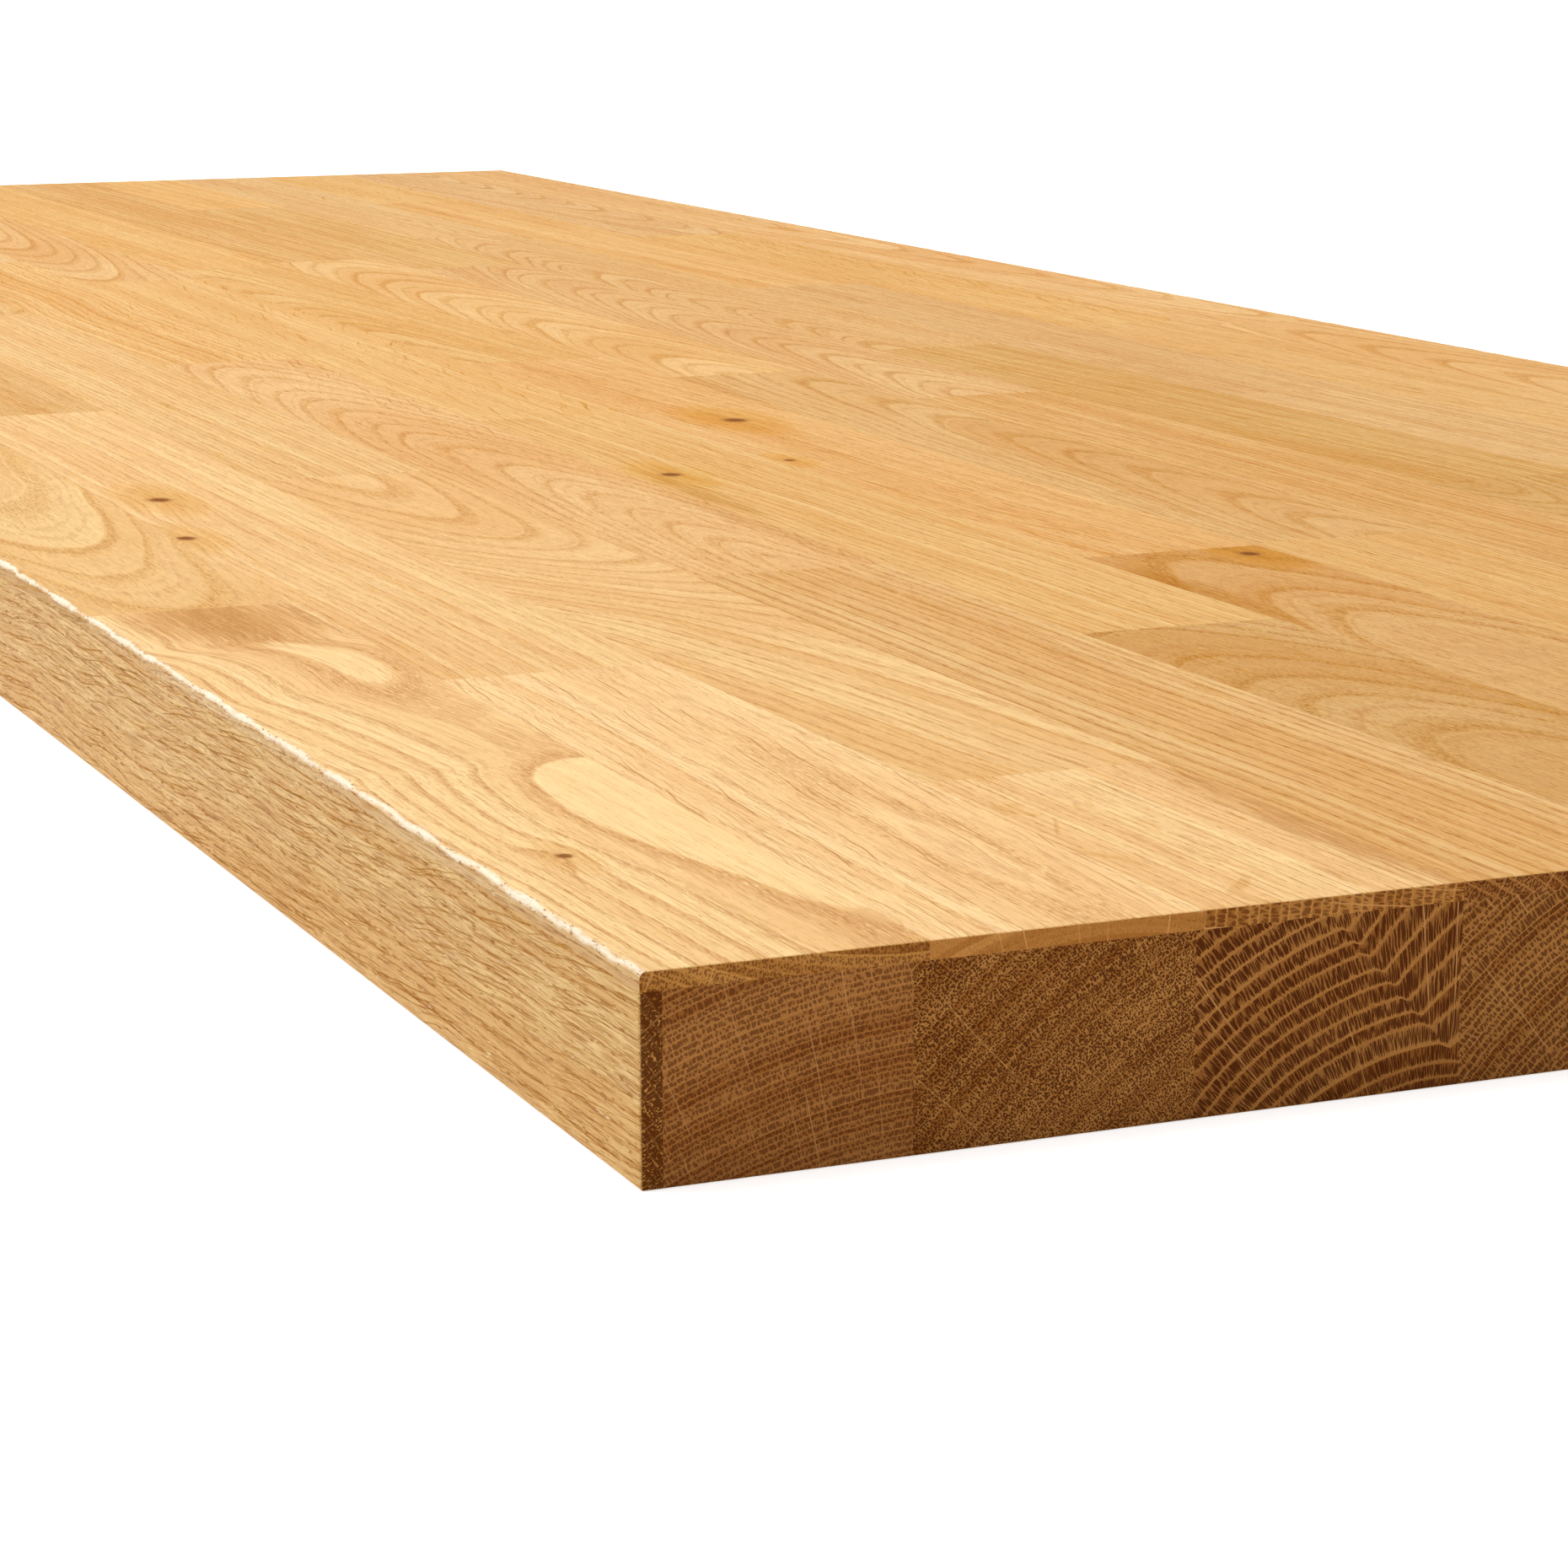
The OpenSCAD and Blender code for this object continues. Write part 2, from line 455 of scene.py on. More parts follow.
# %% Group: sanded arris
wire, given, result = start_group(
    "Sanded Arris",
    {"Place": (0.0, 0.0, 0.0), "Half Width": BOARD_W * MM / 2, "Height": BOARD_T * MM},
    {"Bare": "value", "Torn": "value"},
)
x, y, z = wire.split(given["Place"])
in_from_edge = wire.math("SUBTRACT", given["Half Width"], wire.math("ABSOLUTE", x))
below = wire.math("SUBTRACT", given["Height"], z)


fray = wire.noise(wire.vector(wire.times(x, 1.5), wire.times(y, 0.3), wire.times(z, 1.5)), detail=2.0)


def ragged(far, least, most):
    """A width that wavers along the edge, with fine splinters on it."""
    sweep = wire.wave(wire.math("MULTIPLY_ADD", y, 0.05, far), detail=2.0)
    width = wire.ramp(sweep, 0.3, 0.7, least, most)
    return wire.math("MULTIPLY_ADD", wire.centred(fray), 0.9, width)


gap = wire.math(
    "MAXIMUM",
    wire.math("SUBTRACT", in_from_edge, ragged(5.0, 0.8, 1.6)),
    wire.math("SUBTRACT", below, ragged(31.0, 0.7, 1.5)),
)
worn_off = wire.ramp(gap, -0.7, 0.3, 1.0, 0.0)
fuzz = wire.noise(wire.vector(wire.times(x, 3.0), wire.times(y, 0.5), wire.times(z, 3.0)), detail=2.0)
wire.feed(result["Bare"], wire.times(worn_off, wire.ramp(fuzz, 0.3, 0.65, 0.8, 1.0)))
border = wire.times(wire.ramp(gap, -0.9, -0.2), wire.ramp(gap, 0.1, 0.6, 1.0, 0.0))
dash = wire.noise(wire.vector(wire.times(x, 2.4), wire.times(y, 0.55), wire.times(z, 2.4)), detail=1.0)
wire.feed(result["Torn"], wire.times(border, wire.ramp(dash, 0.58, 0.72)))
print("group", wire.tree.name, "has", len(wire.tree.nodes), "nodes")

# %% [markdown]
# ## The oak material
# One function builds every oak material, because all the pieces are the same wood and differ
# only in which log they came from and how they were sawn. The end grain drinks in oil and turns
# dark, so the colours of a face depend on how squarely it faces along the board. Roughness
# follows the wood too: pores are open and dull, and late wood is smooth.

# %% Colours of the wood
LATE = srgb(252, 216, 152)
BODY = srgb(240, 194, 126)
EARLY = srgb(206, 148, 84)
PORE = srgb(172, 114, 58)
# The next colour is a painted highlight: pale specks where light would catch the fibres.
PAINTED_GLINT = srgb(255, 230, 182)
STRAND = srgb(186, 128, 68)
HAIRLINE = srgb(158, 92, 22)
STAIN = srgb(182, 124, 62)
KNOT = srgb(112, 54, 8)
BARE = srgb(253, 238, 212)
TORN = srgb(164, 112, 66)
END_BODY = srgb(164, 106, 52)
END_LINE = srgb(200, 142, 80)
END_DARK = srgb(82, 36, 8)
END_RAY = srgb(214, 158, 98)

# %% Build one oak material
TRAITS = {
    "pith": "x of the pith, y of the stave's middle, z of the pith",
    "course": "twist, distance to the pith, wander",
    "saw": "ring width, seed, radius of the plain heart",
    "grain": "strength of the rings, of the fibres and of the hairlines",
    "stroke": "width of a flame, rows of flames to a ring, and how far the rings break them",
    "sawn_end": "fill of the flames, their darkness, spacing of the rays",
    "look": "tone, warmth and redness",
    "knot_a": "x, y and radius of a knot",
    "knot_b": "x, y and radius of another",
    "stain": "x and y of a brown stain",
    "stain_size": "half the stain's width, half its length, and its strength",
}


def oak(name, traits=None, scar=(0.0, 0.0, 0.0)):
    """Traits are read off the mesh where none are given."""
    material = bpy.data.materials.new(name)
    material.use_nodes = True
    tree = material.node_tree
    tree.nodes.clear()
    wire = Wiring(tree)
    if traits is None:
        t = {k: wire.put("ShaderNodeAttribute", attribute_name=k).outputs["Vector"] for k in TRAITS}
    else:
        t = {k: wire.vector(*traits[k]) for k in TRAITS}
    twist, reach, wander = wire.split(t["course"])
    ring_width, seed, heartwood = wire.split(t["saw"])
    banding, fibrous, lined = wire.split(t["grain"])
    fill, darkness, spacing = wire.split(t["sawn_end"])
    tone, warmth, redness = wire.split(t["look"])

    log = place(wire, "Place In The Log", pith=t["pith"], twist=twist, reach=reach, wander=wander,
                scar=scar, seed=seed)  # fmt: skip
    radius, around, along = log["Radius"], log["Around"], log["Along"]
    knots = [place(wire, "Pin Knot", place=log["Place"], knot=t[k]) for k in ("knot_a", "knot_b")]
    for knot in knots:
        radius = wire.math("ADD", radius, knot["Push"])
    rings = place(wire, "Growth Rings", radius=radius, ring_width=ring_width, heartwood=heartwood,
                  wander=wander, seed=seed)  # fmt: skip
    early, share, years = rings["Early Wood"], rings["Share"], rings["Years"]
    pores = place(wire, "Pores And Fibres", grain=log["Grain"], early_wood=early)
    rays = place(wire, "Rays", radius=radius, around=around, along=along, spacing=spacing)
    flames = place(wire, "Flames", radius=radius, around=around, share=share, years=years,
                   stroke=t["stroke"], fill=fill)  # fmt: skip
    stain = place(wire, "Brown Stain", place=log["Place"], stain=t["stain"],
                  stain_size=t["stain_size"])["Stained"]  # fmt: skip
    arris = place(wire, "Sanded Arris", place=log["Place"])

    def tint(share, amount, base, colour):
        return wire.mix(wire.math("MULTIPLY", share, amount, clamp=True), base, colour)

    cloud = wire.noise(wire.vector(wire.times(radius, 0.06), wire.times(along, 0.004)), detail=2.0)
    swing = wire.times(wire.centred(rings["Year Tone"]), 0.4)
    pale = wire.math("ADD", wire.centred(cloud), swing)

    inside = wire.math("SUBTRACT", radius, heartwood)
    fibrous = wire.times(fibrous, wire.ramp(inside, -0.6, 0.0, 0.55, 1.0))
    normal = wire.put("ShaderNodeTexCoord").outputs["Normal"]
    is_end = wire.ramp(wire.math("ABSOLUTE", wire.split(normal)[1]), 0.45, 0.8)
    is_side = wire.ramp(wire.math("ABSOLUTE", wire.split(normal)[0]), 0.5, 0.9)
    fibrous = wire.times(fibrous, wire.math("MULTIPLY_ADD", is_side, 0.6, 1.0))
    if traits is None:
        # A top stave's edge is too thin to show rays, and its sawn end drinks in less oil.
        lined = wire.times(lined, wire.math("SUBTRACT", 1.0, is_side))
        tone = wire.times(tone, wire.math("MULTIPLY_ADD", is_end, 0.14, 1.0))

    face = wire.mix(wire.ramp(pale, -0.25, 0.25), BODY, LATE)
    face = tint(pores["Streak"], 0.2, face, EARLY)
    banded = wire.times(early, wire.math("MULTIPLY_ADD", pores["Fibre"], 0.6, 0.3))
    face = tint(banded, banding, face, EARLY)
    lines = wire.times(rings["Lines"], wire.ramp(pores["Fibre"], 0.2, 0.8, 0.1, 1.0))
    face = tint(lines, wire.times(fibrous, 0.42), face, EARLY)
    face = tint(pores["Fibre"], wire.times(fibrous, 0.26), face, EARLY)
    face = tint(pores["Strand"], wire.times(fibrous, 0.38), face, STRAND)
    face = tint(pores["Pore"], wire.times(fibrous, 0.4), face, PORE)
    # Painted highlight: pale specks on the long faces, where light would catch the fibres.
    face = tint(pores["Painted Glint"], wire.times(fibrous, 0.5), face, PAINTED_GLINT)
    face = tint(stain, wire.math("MULTIPLY_ADD", pores["Fibre"], 0.4, 0.6), face, STAIN)
    face = tint(rays["Hairline"], lined, face, HAIRLINE)

    end = wire.mix(wire.ramp(pale, -0.3, 0.3), END_BODY, END_LINE)
    end = tint(flames["Late"], wire.times(darkness, 0.3), end, END_DARK)
    end = tint(flames["Flame"], darkness, end, END_DARK)
    end = tint(flames["Pale Line"], 0.7, end, END_LINE)
    end = tint(pores["Pore"], 0.35, end, END_DARK)
    # Painted highlight: pale specks on the sawn end, where light would catch the pores.
    end = tint(pores["Painted Glint"], 0.5, end, END_LINE)
    end = tint(rays["Ray"], 0.85, end, END_RAY)

    is_long = wire.math("SUBTRACT", 1.0, is_end)
    tone = wire.times(tone, wire.math("MULTIPLY_ADD", is_side, -0.14, 1.0))
    warmth = wire.math("MULTIPLY_ADD", is_end, wire.math("SUBTRACT", 1.04, warmth), warmth)
    colour = wire.mix(is_end, face, end)
    hue = wire.math("SUBTRACT", 0.5, wire.times(redness, 0.01))
    shade = wire.put("ShaderNodeHueSaturation", {
        "Hue": hue, "Value": tone, "Saturation": warmth, "Color": colour,
    })  # fmt: skip
    colour = shade.outputs[0]
    for knot in knots:
        colour = tint(knot["Halo"], 0.16, colour, STRAND)
        colour = tint(knot["Heart"], 0.85, colour, KNOT)
        colour = tint(knot["Rim"], 0.4, colour, PORE)
    colour = tint(arris["Bare"], is_long, colour, BARE)
    colour = tint(arris["Torn"], wire.times(is_long, 0.85), colour, TORN)

    rough = wire.math("MULTIPLY_ADD", pores["Pore"], 0.2, 0.45)
    rough = wire.math("MULTIPLY_ADD", early, 0.1, rough)
    rough = wire.math("MULTIPLY_ADD", arris["Bare"], 0.2, rough)
    rough = wire.math("MULTIPLY_ADD", rays["Hairline"], 0.4, rough)
    rough = wire.math("MULTIPLY_ADD", stain, 0.3, rough)
    for knot in knots:
        rough = wire.math("MULTIPLY_ADD", knot["Halo"], 0.5, rough)
    rough = wire.math("MULTIPLY_ADD", is_end, 0.3, rough, clamp=True)
    height = wire.times(pores["Pore"], -0.12)
    height = wire.math("MULTIPLY_ADD", pores["Fibre"], -0.04, height)
    relief = wire.put("ShaderNodeBump", {"Strength": 0.5, "Distance": 0.001, "Height": height})

    skin = wire.put("ShaderNodeBsdfPrincipled", {
        "Base Color": colour, "Roughness": rough, "IOR": 1.2, "Specular IOR Level": 0.4,
        "Normal": relief.outputs["Normal"],
    })  # fmt: skip
    out = wire.put("ShaderNodeOutputMaterial")
    tree.links.new(skin.outputs["BSDF"], out.inputs["Surface"])
    return material


# %% [markdown]
# ## How each stave was sawn
# The staves that the photograph shows up close get their own values, chosen to give the figure
# that each one has. Where the figure is a clear drawing, the pith's path beside the stave is set
# point by point: it comes near where an arch closes, and backs off where the rings run out. The
# rest are dealt out by a seeded random number, as a sorter at the mill would take them off the
# pile: plain-sawn, rift-sawn or quarter-sawn.

# %% Measures taken from the near left corner
LEFT, NEAR, TOP = low.x * MM, low.y * MM, BOARD_T * MM
NO_KNOT = (0.0, 0.0, 0.0)


def on_board(x, y, size=0.0):
    """A spot in millimetres from the near left corner, in the board's own frame, and its size."""
    return (LEFT + x, NEAR + y, size)


def pith_at(x, above):
    """A straight pith, so far to the right of the corner and above the board's top."""
    return lambda y: (LEFT + x, TOP + above)


def pith_path(points, side=1):
    """A smooth pith through (y, x, distance from the top), above it or, with side -1, below."""
    rows = [(NEAR + y, LEFT + x, TOP + side * far) for y, x, far in points]

    def slope(i, k):
        a, b = rows[max(i - 1, 0)], rows[min(i + 1, len(rows) - 1)]
        return (b[k] - a[k]) / (b[0] - a[0])

    def pith(y):
        y = min(max(y, rows[0][0]), rows[-1][0])
        i = max(n for n in range(len(rows) - 1) if n == 0 or rows[n][0] <= y)
        a, b = rows[i], rows[i + 1]
        width = b[0] - a[0]
        t = (y - a[0]) / width
        ends = (2 * t**3 - 3 * t**2 + 1, 3 * t**2 - 2 * t**3)
        leans = (t**3 - 2 * t**2 + t, t**3 - t**2)
        return tuple(
            ends[0] * a[k] + ends[1] * b[k] + width * (leans[0] * slope(i, k) + leans[1] * slope(i + 1, k))
            for k in (1, 2)
        )

    return pith


# %% Deal out the logs
deal = random.Random(1860)


def dealt_traits(x0, x1, y0, y1, top):
    """Traits of a stave that spans these metres, cut from a log picked at random."""
    middle_x, middle_y, height = (x0 + x1) / 2 * MM, (y0 + y1) / 2 * MM, top * MM
    sawn = deal.choice(["plain", "plain", "rift", "rift", "rift", "quarter"])
    side, face = deal.choice([-1, 1]), deal.choice([-1, 1])
    swell_at, swell_length = middle_y + deal.uniform(-200, 200), deal.uniform(180, 420)
    if sawn == "plain":
        x, z = middle_x + deal.uniform(-24, 24), height + face * deal.uniform(25, 60)
        lean_z, swell = side * deal.uniform(0.03, 0.08), deal.uniform(0.1, 0.6)
    elif sawn == "rift":
        x, z = middle_x + side * deal.uniform(50, 100), height + face * deal.uniform(40, 90)
        lean_z, swell = deal.uniform(-0.01, 0.01), deal.uniform(0.2, 0.8)
    else:
        x, z = middle_x + side * deal.uniform(80, 150), height + face * deal.uniform(35, 60)
        lean_z, swell = 0.0, 0.0
    lean_x = deal.uniform(-0.03, 0.03)

    def pith(y):
        wave = swell * math.cos(math.tau * (y - swell_at) / swell_length)
        return (x + lean_x * (y - middle_y), z + lean_z * (y - middle_y) + wave)

    return {
        "pith": pith,
        "course": (side * deal.uniform(0, 0.08), 0.0, deal.uniform(0.15, 0.4)),
        "saw": (deal.uniform(1.4, 2.8), deal.uniform(0, 40), 0.0),
        "grain": (deal.uniform(0.25, 0.5), deal.uniform(0.8, 1.1), deal.uniform(0.1, 0.35)),
        "stroke": (deal.uniform(0.45, 0.6), deal.choice([1.0, 1.0, 2.0, 3.0]), deal.uniform(0.4, 1.0)),
        "sawn_end": (deal.uniform(0.45, 0.58), deal.uniform(0.6, 0.85), deal.uniform(2.6, 4.5)),
        "look": (deal.uniform(0.74, 0.84), deal.uniform(1.13, 1.2), deal.uniform(0.5, 0.8)),
        "knot_a": NO_KNOT,
        "knot_b": NO_KNOT,
        "stain": NO_KNOT,
        "stain_size": (5.0, 50.0, 0.0),
    }


def with_reach(traits, x0, x1, y0, y1, top):
    """Fills in how far the middle of the stave's top is from its pith, below 0 if that is above."""
    pith_x, pith_z = traits["pith"]((y0 + y1) / 2 * MM)
    twist, _, wander = traits["course"]
    up = top * MM - pith_z
    reach = math.copysign(math.hypot((x0 + x1) / 2 * MM - pith_x, up), up)
    traits["course"] = (twist, reach, wander)
    return traits


# %% The staves seen up close
TONGUE = [
    (-10, 52, 102.3), (15, 52, 102.0), (25, 52, 101.95), (40, 52, 101.65), (60, 52, 101.35),
    (80, 52, 100.8), (100, 52, 100.3), (120, 52, 100.05), (145, 52, 100.5), (158, 51.5, 101.2),
    (164, 51, 101.75), (168, 50, 102.1), (178, 48, 102.45), (190, 46.5, 102.6), (205, 45, 102.65),
    (225, 43, 102.5), (240, 41, 102.3), (252, 39.5, 102.08), (260, 39.5, 101.95), (270, 40, 101.87),
    (284, 40.5, 101.8), (298, 39.5, 101.74), (309, 36, 101.78), (318, 31, 101.87), (322, 30, 101.97),
    (326, 30, 102.12), (334, 30, 102.25), (350, 29, 102.3), (372, 28, 102.25), (380, 28, 102.25),
]  # fmt: skip
CHOSEN = {
    (1, 1): {
        "pith": pith_path(TONGUE), "course": (0.0, 0.0, 0.05), "saw": (2.0, 11.0, 102.0),
        "grain": (0.85, 1.2, 0.2), "stroke": (0.5, 2.4, 0.6), "sawn_end": (0.52, 0.6, 3.0),
        "look": (1.0, 1.0, 0.0), "knot_a": on_board(18, 84, 1.5),
        "stain": on_board(30, 356), "stain_size": (30.0, 48.0, 0.7),
    },
    (1, 2): {"pith": pith_path([(372, 24, 66), (480, 24, 60), (620, 26, 52), (862, 30, 42)]),
             "course": (0.0, 0.0, 0.35), "saw": (4.5, 9.0, 0.0), "grain": (0.3, 1.0, 0.1),
             "look": (0.88, 1.08, 0.2)},
    (2, 1): {
        "pith": pith_at(88, -75), "course": (-0.09, 0.0, 0.2), "saw": (1.5, 23.0, 0.0),
        "grain": (0.3, 1.1, 0.6), "stroke": (0.42, 1.0, 0.1), "sawn_end": (0.5, 0.14, 3.4),
        "look": (1.02, 0.99, 0.2),
    },
    (2, 2): {"pith": pith_at(160, -70), "course": (0.0, 0.0, 0.3), "saw": (2.2, 26.0, 0.0),
             "grain": (0.3, 1.0, 0.1), "look": (0.92, 1.05, 0.3), "knot_a": on_board(68, 558, 3.2),
             "knot_b": on_board(55.6, 484, 2.6)},
    (3, 1): {"pith": pith_at(232, -14), "course": (0.0, 0.0, 0.2), "saw": (2.1, 31.0, 0.0),
             "grain": (0.5, 1.2, 0.2), "stroke": (0.6, 1.0, 1.0), "sawn_end": (0.56, 0.6, 3.0),
             "look": (0.98, 1.02, 0.2), "stain": on_board(158, 45),
             "stain_size": (11.0, 80.0, 0.7)},
    (3, 2): {"pith": pith_path([(100, 190, 75), (300, 175, 70), (400, 150, 57), (450, 138, 51),
                                (520, 133, 47), (600, 131, 44)]),
             "course": (0.0, 0.0, 0.2), "saw": (3.0, 5.0, 0.0), "grain": (0.45, 1.0, 0.2),
             "look": (0.9, 1.07, 0.3)},
    (3, 3): {"look": (0.87, 1.08, 0.2)},
    (4, 1): {"pith": pith_at(120, -80), "course": (0.0, 0.0, 0.25), "saw": (2.4, 14.0, 0.0),
             "grain": (0.75, 1.2, 0.2), "look": (0.82, 1.12, 0.5)},
    (4, 2): {"look": (0.84, 1.12, 0.8), "stain": on_board(209, 440),
             "stain_size": (6.0, 95.0, 0.35)},
    (5, 1): {"pith": pith_path([(0, 236, 34), (110, 231, 44), (253, 222, 66)]),
             "course": (0.0, 0.0, 0.4), "saw": (5.0, 12.0, 0.0), "grain": (0.24, 1.2, 0.1),
             "look": (0.69, 1.2, 0.8)},
    (5, 2): {"grain": (0.3, 0.9, 0.2), "look": (0.82, 1.15, 0.5), "knot_a": on_board(224, 547, 3.0),
             "stain": on_board(217, 500), "stain_size": (6.0, 60.0, 0.45)},
    (6, 1): {"pith": pith_path([(0, 294, 36), (180, 290, 46), (355, 286, 62)]),
             "course": (0.0, 0.0, 0.4), "saw": (5.5, 17.0, 0.0), "grain": (0.24, 1.2, 0.1),
             "look": (0.72, 1.2, 1.0), "knot_a": on_board(309, 343, 2.8),
             "stain": on_board(268, 295), "stain_size": (7.0, 55.0, 0.45)},
    (6, 2): {"look": (0.83, 1.16, 0.9), "knot_a": on_board(269.6, 562, 1.8),
             "knot_b": on_board(292, 660, 4.0)},
    (7, 1): {"look": (0.79, 1.17, 0.6)},
    (7, 2): {"look": (0.74, 1.18, 0.8)},
    (8, 1): {"look": (0.76, 1.2, 0.9)},
    (8, 2): {"look": (0.75, 1.2, 0.9)},
    (9, 1): {"look": (0.66, 1.25, 0.8)},
    (9, 2): {"look": (0.69, 1.24, 0.7)},
}  # fmt: skip

# %% [markdown]
# ## Top staves
# The top is cut into staves where the board's own model has its end joints. Each stave is a
# closed block. Where it meets a long edge of the board, its corner is worn round with a radius
# that changes every millimetre, because sandpaper held by hand never takes off the same twice.

# %% Where the staves meet
ROWS = sum(name.startswith("top_row_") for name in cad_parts)


def stave_spans(node):
    """Start and end of each stave in a row, from the cuts in the row's own mesh."""
    ys = sorted({round(v.co.y, 5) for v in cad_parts[node].data.vertices})
    inner = [y for y in ys if ys[0] + 0.01 < y < ys[-1] - 0.01]
    starts = [ys[0], *inner[1::2]]
    return list(zip(starts, [*starts[1:], ys[-1]]))


print(ROWS, "rows; the first is cut at", [round(a * MM) for a, b in stave_spans("top_row_1")])

# %% One stave
CORNER_STEPS = 6
END_ROUND = 0.0005
EDGE_ROUND = 0.0015


def corner_arc(radius, steps):
    """Points from the side up and over to the top, as (inwards, downwards) from the corner."""
    turns = [math.pi / 2 * i / steps for i in range(steps + 1)]
    return [(radius * (1 - math.cos(a)), radius * (1 - math.sin(a))) for a in turns]


def worn(y, side):
    """The radius of the eased edge at this place along the board."""
    rough = noise.noise(Vector((y * 90, side * 7.0, 0.0))) * 0.45
    fine = noise.noise(Vector((y * 420, side * 3.0, 5.0))) * 0.3
    return EDGE_ROUND * (1.0 + rough + fine)


def stave_section(y, x0, x1, bottom, top, drop):
    """The stave's outline across the board at y, with its long-edge corners eased."""
    points = [(x0, bottom)]
    if x0 <= low.x + 1e-5:
        arc = corner_arc(worn(y, -1), CORNER_STEPS)
        points += [(x0 + dx, top - dz) for dx, dz in arc]
    else:
        points.append((x0, top))
    if x1 >= high.x - 1e-5:
        arc = corner_arc(worn(y, 1), CORNER_STEPS)
        points += [(x1 - dx, top - dz) for dx, dz in reversed(arc)]
    else:
        points.append((x1, top))
    points.append((x1, bottom))
    return [(x, y, min(z, top - drop)) for x, z in points]


def stations(y0, y1, step):
    """Places along the stave where its outline is set, with the end corners of the board eased."""
    count = max(1, round((y1 - y0) / step))
    inner = [(y0 + (y1 - y0) * i / count, 0.0) for i in range(count + 1)]
    arc = corner_arc(END_ROUND, 4)
    if y0 <= low.y + 1e-5:
        inner = [(y0 + a, b) for a, b in arc] + [s for s in inner if s[0] > y0 + END_ROUND]
    if y1 >= high.y - 1e-5:
        inner = [s for s in inner if s[0] < y1 - END_ROUND] + [(y1 - a, b) for a, b in reversed(arc)]
    return inner


def make_stave(name, x0, x1, y0, y1, bottom, top, traits):
    edge = x0 <= low.x + 1e-5 or x1 >= high.x - 1e-5
    mesh = bmesh.new()
    rings = []
    for y, drop in stations(y0, y1, 0.0008 if edge else 0.004):
        rings.append([mesh.verts.new(p) for p in stave_section(y, x0, x1, bottom, top, drop)])
    for a, b in zip(rings, rings[1:]):
        for i in range(len(a)):
            j = (i + 1) % len(a)
            mesh.faces.new((a[i], b[i], b[j], a[j]))
    mesh.faces.new(reversed(rings[0]))
    mesh.faces.new(rings[-1])
    bmesh.ops.recalc_face_normals(mesh, faces=mesh.faces)
    data = bpy.data.meshes.new(name)
    mesh.to_mesh(data)
    mesh.free()
    write_traits(data, traits, (y0 + y1) / 2 * MM)
    piece = bpy.data.objects.new(name, data)
    bpy.context.scene.collection.objects.link(piece)
    return piece


def write_traits(data, traits, middle_y):
    """Each trait is stored on the mesh. The pith follows its path from one end to the other."""
    for trait in TRAITS:
        if trait == "pith":
            paths = [traits["pith"](v.co.y * MM) for v in data.vertices]
            values = [n for x, z in paths for n in (x, middle_y, z)]
        else:
            values = list(traits[trait]) * len(data.vertices)
        layer = data.attributes.new(trait, "FLOAT_VECTOR", "POINT")
        layer.data.foreach_set("vector", values)


# %% Lay the rows
top_oak = oak("sanded oak top")
staves = []
for row in range(1, ROWS + 1):
    node = f"top_row_{row}"
    (x0, _, bottom), (x1, _, top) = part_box(node)
    for number, (y0, y1) in enumerate(stave_spans(node), start=1):
        traits = dealt_traits(x0, x1, y0, y1, top)
        traits.update(CHOSEN.get((row, number), {}))
        with_reach(traits, x0, x1, y0, y1, top)
        piece = make_stave(f"stave_{row}_{number}", x0, x1, y0, y1, bottom, top, traits)
        piece.data.materials.append(top_oak)
        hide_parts(node)
        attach(piece, "root")
        staves.append(piece)
print(len(staves), "top staves,", sum(len(s.data.polygons) for s in staves), "faces")

# %% [markdown]
# ## Core staves and edge strips
# The core and the strips are plain sawn blocks, so their shapes stay as they are in the board's
# own model, and each only gets its own log. Of a core stave only the sawn ends and the underside
# can be seen, so what counts is how its rings and flames look from the end.

# %% Finish the core and the strips
CORES = sum(name.startswith("core_stave_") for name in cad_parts)
CORE_CHOSEN = {
    1: {"pith": pith_at(58, -148), "saw": (1.15, 2.0, 0.0), "stroke": (0.6, 1.0, 0.8),
        "sawn_end": (0.56, 0.62, 4.5), "look": (0.9, 1.0, 0.6)},
    2: {"pith": pith_at(159, -127), "saw": (1.3, 7.0, 0.0), "stroke": (0.5, 2.4, 0.15),
        "sawn_end": (0.57, 0.9, 5.0), "look": (0.94, 1.0, 0.2)},
    3: {"pith": pith_at(155, -82), "course": (0.0, 0.0, 0.15), "saw": (3.3, 9.0, 0.0),
        "stroke": (0.42, 1.0, 1.0), "sawn_end": (0.6, 0.92, 4.5), "look": (0.94, 1.0, 0.3)},
    4: {"pith": pith_at(235, -100), "saw": (1.5, 13.0, 0.0), "stroke": (0.55, 1.0, 0.8),
        "sawn_end": (0.58, 0.75, 4.0), "look": (0.9, 1.0, 0.3)},
}  # fmt: skip
CORE_SCARS = {3: (LEFT + 163.3, 1.2, -0.46)}


def dress(node, traits, name, scar=(0.0, 0.0, 0.0)):
    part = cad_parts[node]
    (x0, y0, _), (x1, y1, top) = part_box(node)
    with_reach(traits, x0, x1, y0, y1, top)
    pith_x, pith_z = traits["pith"](0.0)
    traits["pith"] = (pith_x, 0.0, pith_z)
    part.data.materials.clear()
    part.data.materials.append(oak(name, traits, scar))


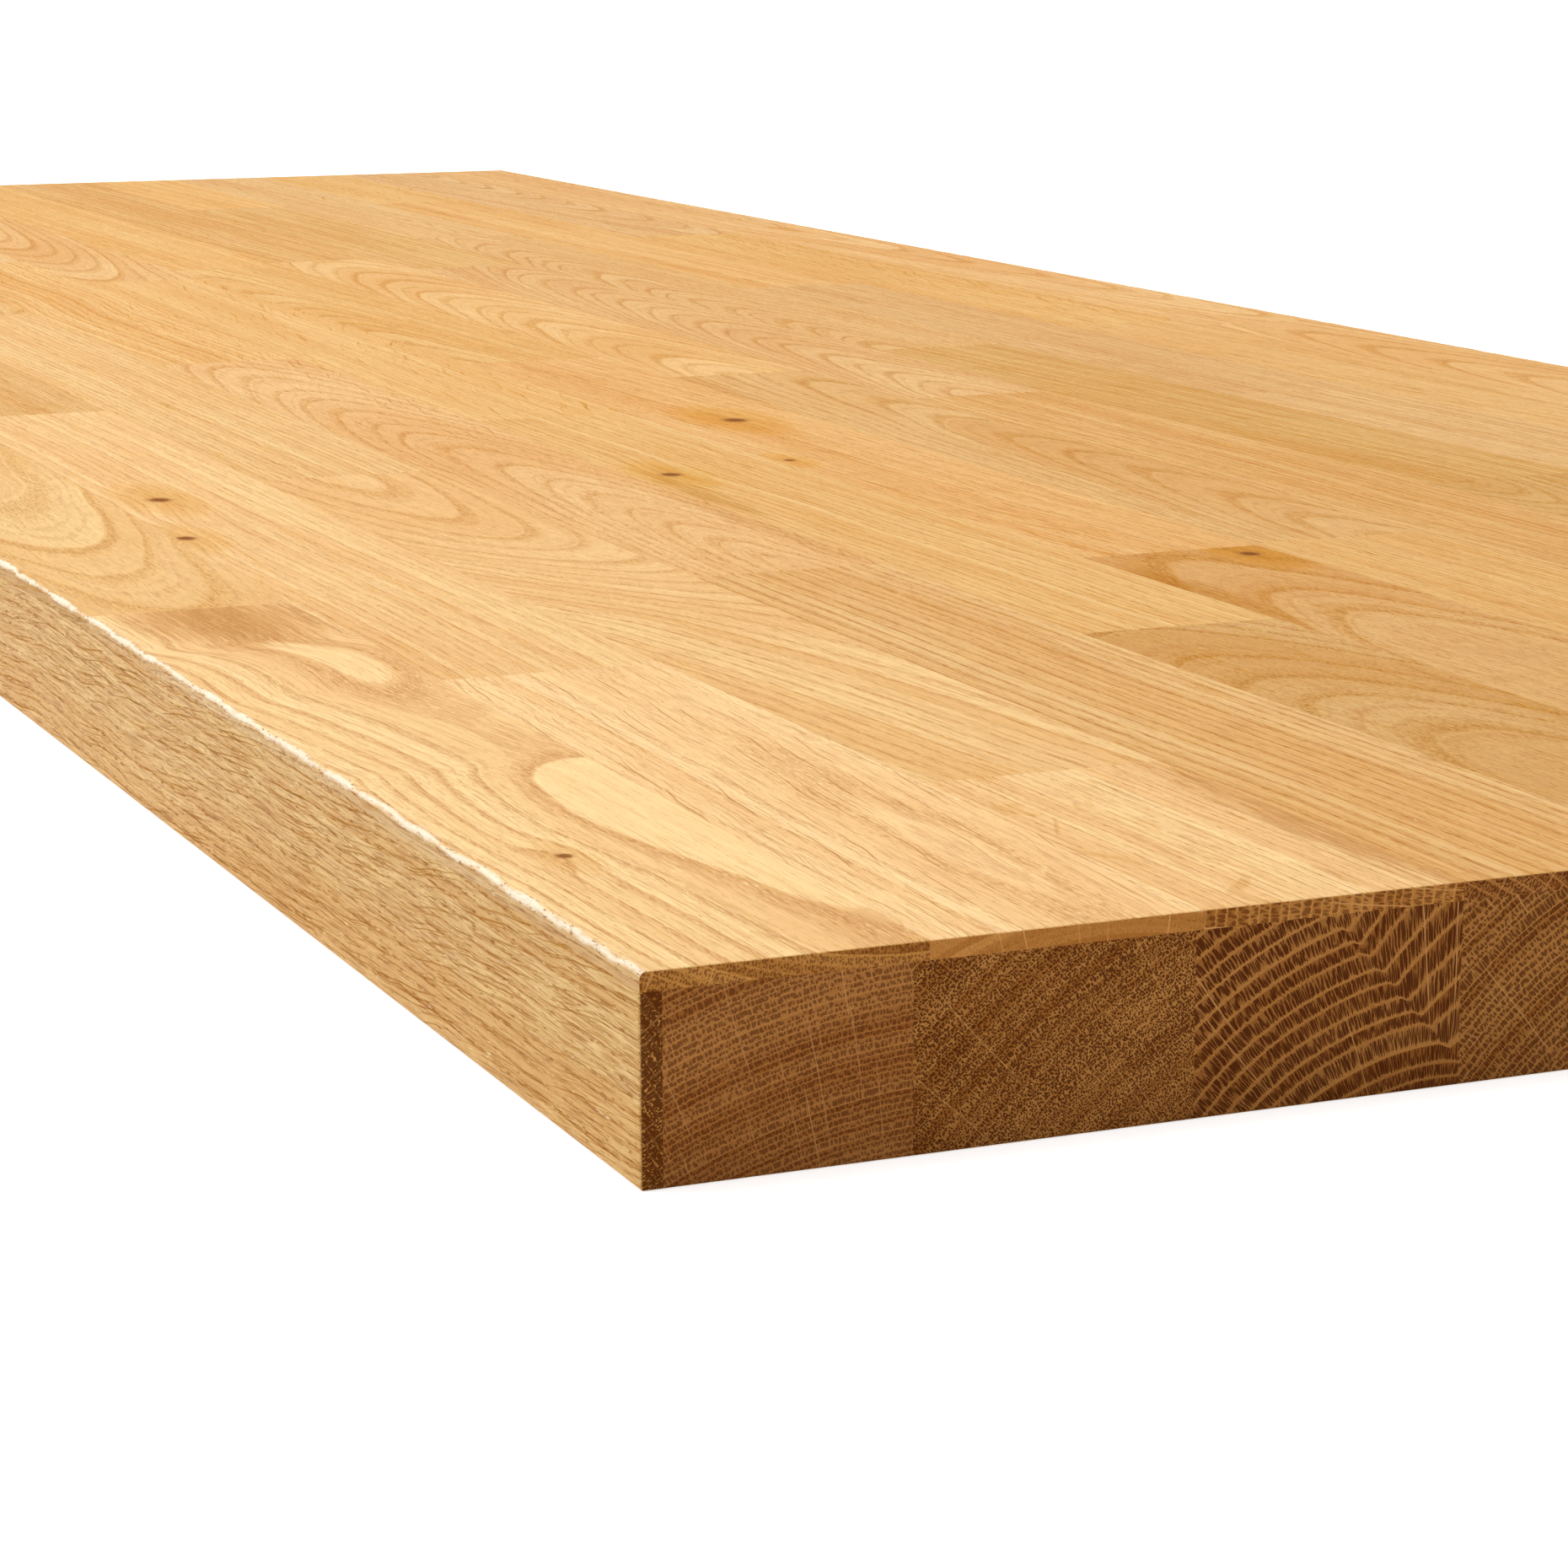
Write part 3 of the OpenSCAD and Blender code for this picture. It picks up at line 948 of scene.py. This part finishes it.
for number in range(1, CORES + 1):
    node = f"core_stave_{number}"
    (x0, y0, _), (x1, y1, top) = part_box(node)
    traits = dealt_traits(x0, x1, y0, y1, top)
    traits["look"] = (traits["look"][0] + 0.02, 1.06, 0.3)
    traits.update(CORE_CHOSEN.get(number, {}))
    dress(node, traits, f"oak core {number}", CORE_SCARS.get(number, (0.0, 0.0, 0.0)))
for node, x, seed in (("edge_strip_left", -110, 3.0), ("edge_strip_right", 745, 21.0)):
    (x0, y0, _), (x1, y1, top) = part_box(node)
    traits = dealt_traits(x0, x1, y0, y1, top)
    traits.update({
        "pith": pith_at(x, -98), "course": (-0.085, 0.0, 0.4), "saw": (1.7, seed, 0.0),
        "grain": (0.45, 1.4, 0.5), "stroke": (0.42, 2.8, 0.2), "sawn_end": (0.8, 0.92, 1.5),
        "look": (1.05, 1.06, -0.1),
    })  # fmt: skip
    dress(node, traits, f"oak {node.replace('_', ' ')}")
print(CORES, "core staves and 2 edge strips dressed")

# %% [markdown]
# ## Floor, light and camera
# The board lies on a pale floor that turns white for the camera, under one broad light from the
# left and above and a bright even sky, so the left side is light and the near end is in shade.

# %% Floor
FLOOR = 12.0
corners = [(-FLOOR, -FLOOR, 0), (FLOOR, -FLOOR, 0), (FLOOR, FLOOR, 0), (-FLOOR, FLOOR, 0)]
floor_mesh = bpy.data.meshes.new("floor")
floor_mesh.from_pydata(corners, [], [(0, 1, 2, 3)])
floor = bpy.data.objects.new("floor", floor_mesh)
bpy.context.scene.collection.objects.link(floor)
paint = bpy.data.materials.new("pale floor")
paint.use_nodes = True
paint.node_tree.nodes.clear()
wire = Wiring(paint.node_tree)
path = wire.put("ShaderNodeLightPath").outputs
seen = wire.math("MAXIMUM", path["Is Camera Ray"], path["Is Glossy Ray"])
seen = wire.math("MAXIMUM", seen, path["Is Transmission Ray"])
matt = wire.put("ShaderNodeBsdfDiffuse", {"Color": (0.9, 0.9, 0.9, 1.0)})
glow = wire.put("ShaderNodeEmission", {"Strength": wire.math("MULTIPLY", seen, 0.62)})
both = wire.put("ShaderNodeAddShader", [(0, matt.outputs[0]), (1, glow.outputs[0])])
paint.node_tree.links.new(both.outputs[0], wire.put("ShaderNodeOutputMaterial").inputs["Surface"])
floor_mesh.materials.append(paint)

# %% Sky
SKY_LIGHT = 0.55
world = bpy.data.worlds.new("studio")
bpy.context.scene.world = world
world.use_nodes = True
world.node_tree.nodes.clear()
wire = Wiring(world.node_tree)
path = wire.put("ShaderNodeLightPath").outputs
seen = wire.math("MAXIMUM", path["Is Camera Ray"], path["Is Glossy Ray"])
seen = wire.math("MAXIMUM", seen, path["Is Transmission Ray"])
strength = wire.math("MULTIPLY_ADD", seen, 1.0 - SKY_LIGHT, SKY_LIGHT)
light = wire.put("ShaderNodeBackground", {"Color": (1.0, 1.0, 1.0, 1.0), "Strength": strength})
world.node_tree.links.new(light.outputs[0], wire.put("ShaderNodeOutputWorld").inputs["Surface"])


# %% Lamp
def soft_lamp(name, place_at, target, size, power):
    data = bpy.data.lights.new(name, "AREA")
    data.shape, data.size, data.energy = "SQUARE", size, power
    lamp = bpy.data.objects.new(name, data)
    lamp.location = place_at
    lamp.rotation_euler = (Vector(target) - Vector(place_at)).to_track_quat("-Z", "Y").to_euler()
    bpy.context.scene.collection.objects.link(lamp)
    return lamp


soft_lamp("key", (-0.9, 0.5, 3.2), (0.0, -0.2, 0.0), 2.4, 95.0)

# %% Camera
CAMERA_AT = (-0.5586, -1.5518, 0.2139)
TILT_DOWN, TURN_RIGHT, ROLL = 12.205, 23.269, 0.09
PHOTO_SIZE, FOCAL_PIXELS, SENSOR = 1860.0, 4951.4, 36.0
camera_data = bpy.data.cameras.new("camera")
camera_data.sensor_width = SENSOR
camera_data.lens = FOCAL_PIXELS * SENSOR / PHOTO_SIZE
camera = bpy.data.objects.new("camera", camera_data)
camera.location = CAMERA_AT
camera.rotation_euler = (math.radians(90 - TILT_DOWN), math.radians(ROLL), math.radians(-TURN_RIGHT))
bpy.context.scene.collection.objects.link(camera)
bpy.context.scene.camera = camera
bpy.context.scene.view_settings.view_transform = "Standard"
print(f"lens {camera_data.lens:.1f} mm")
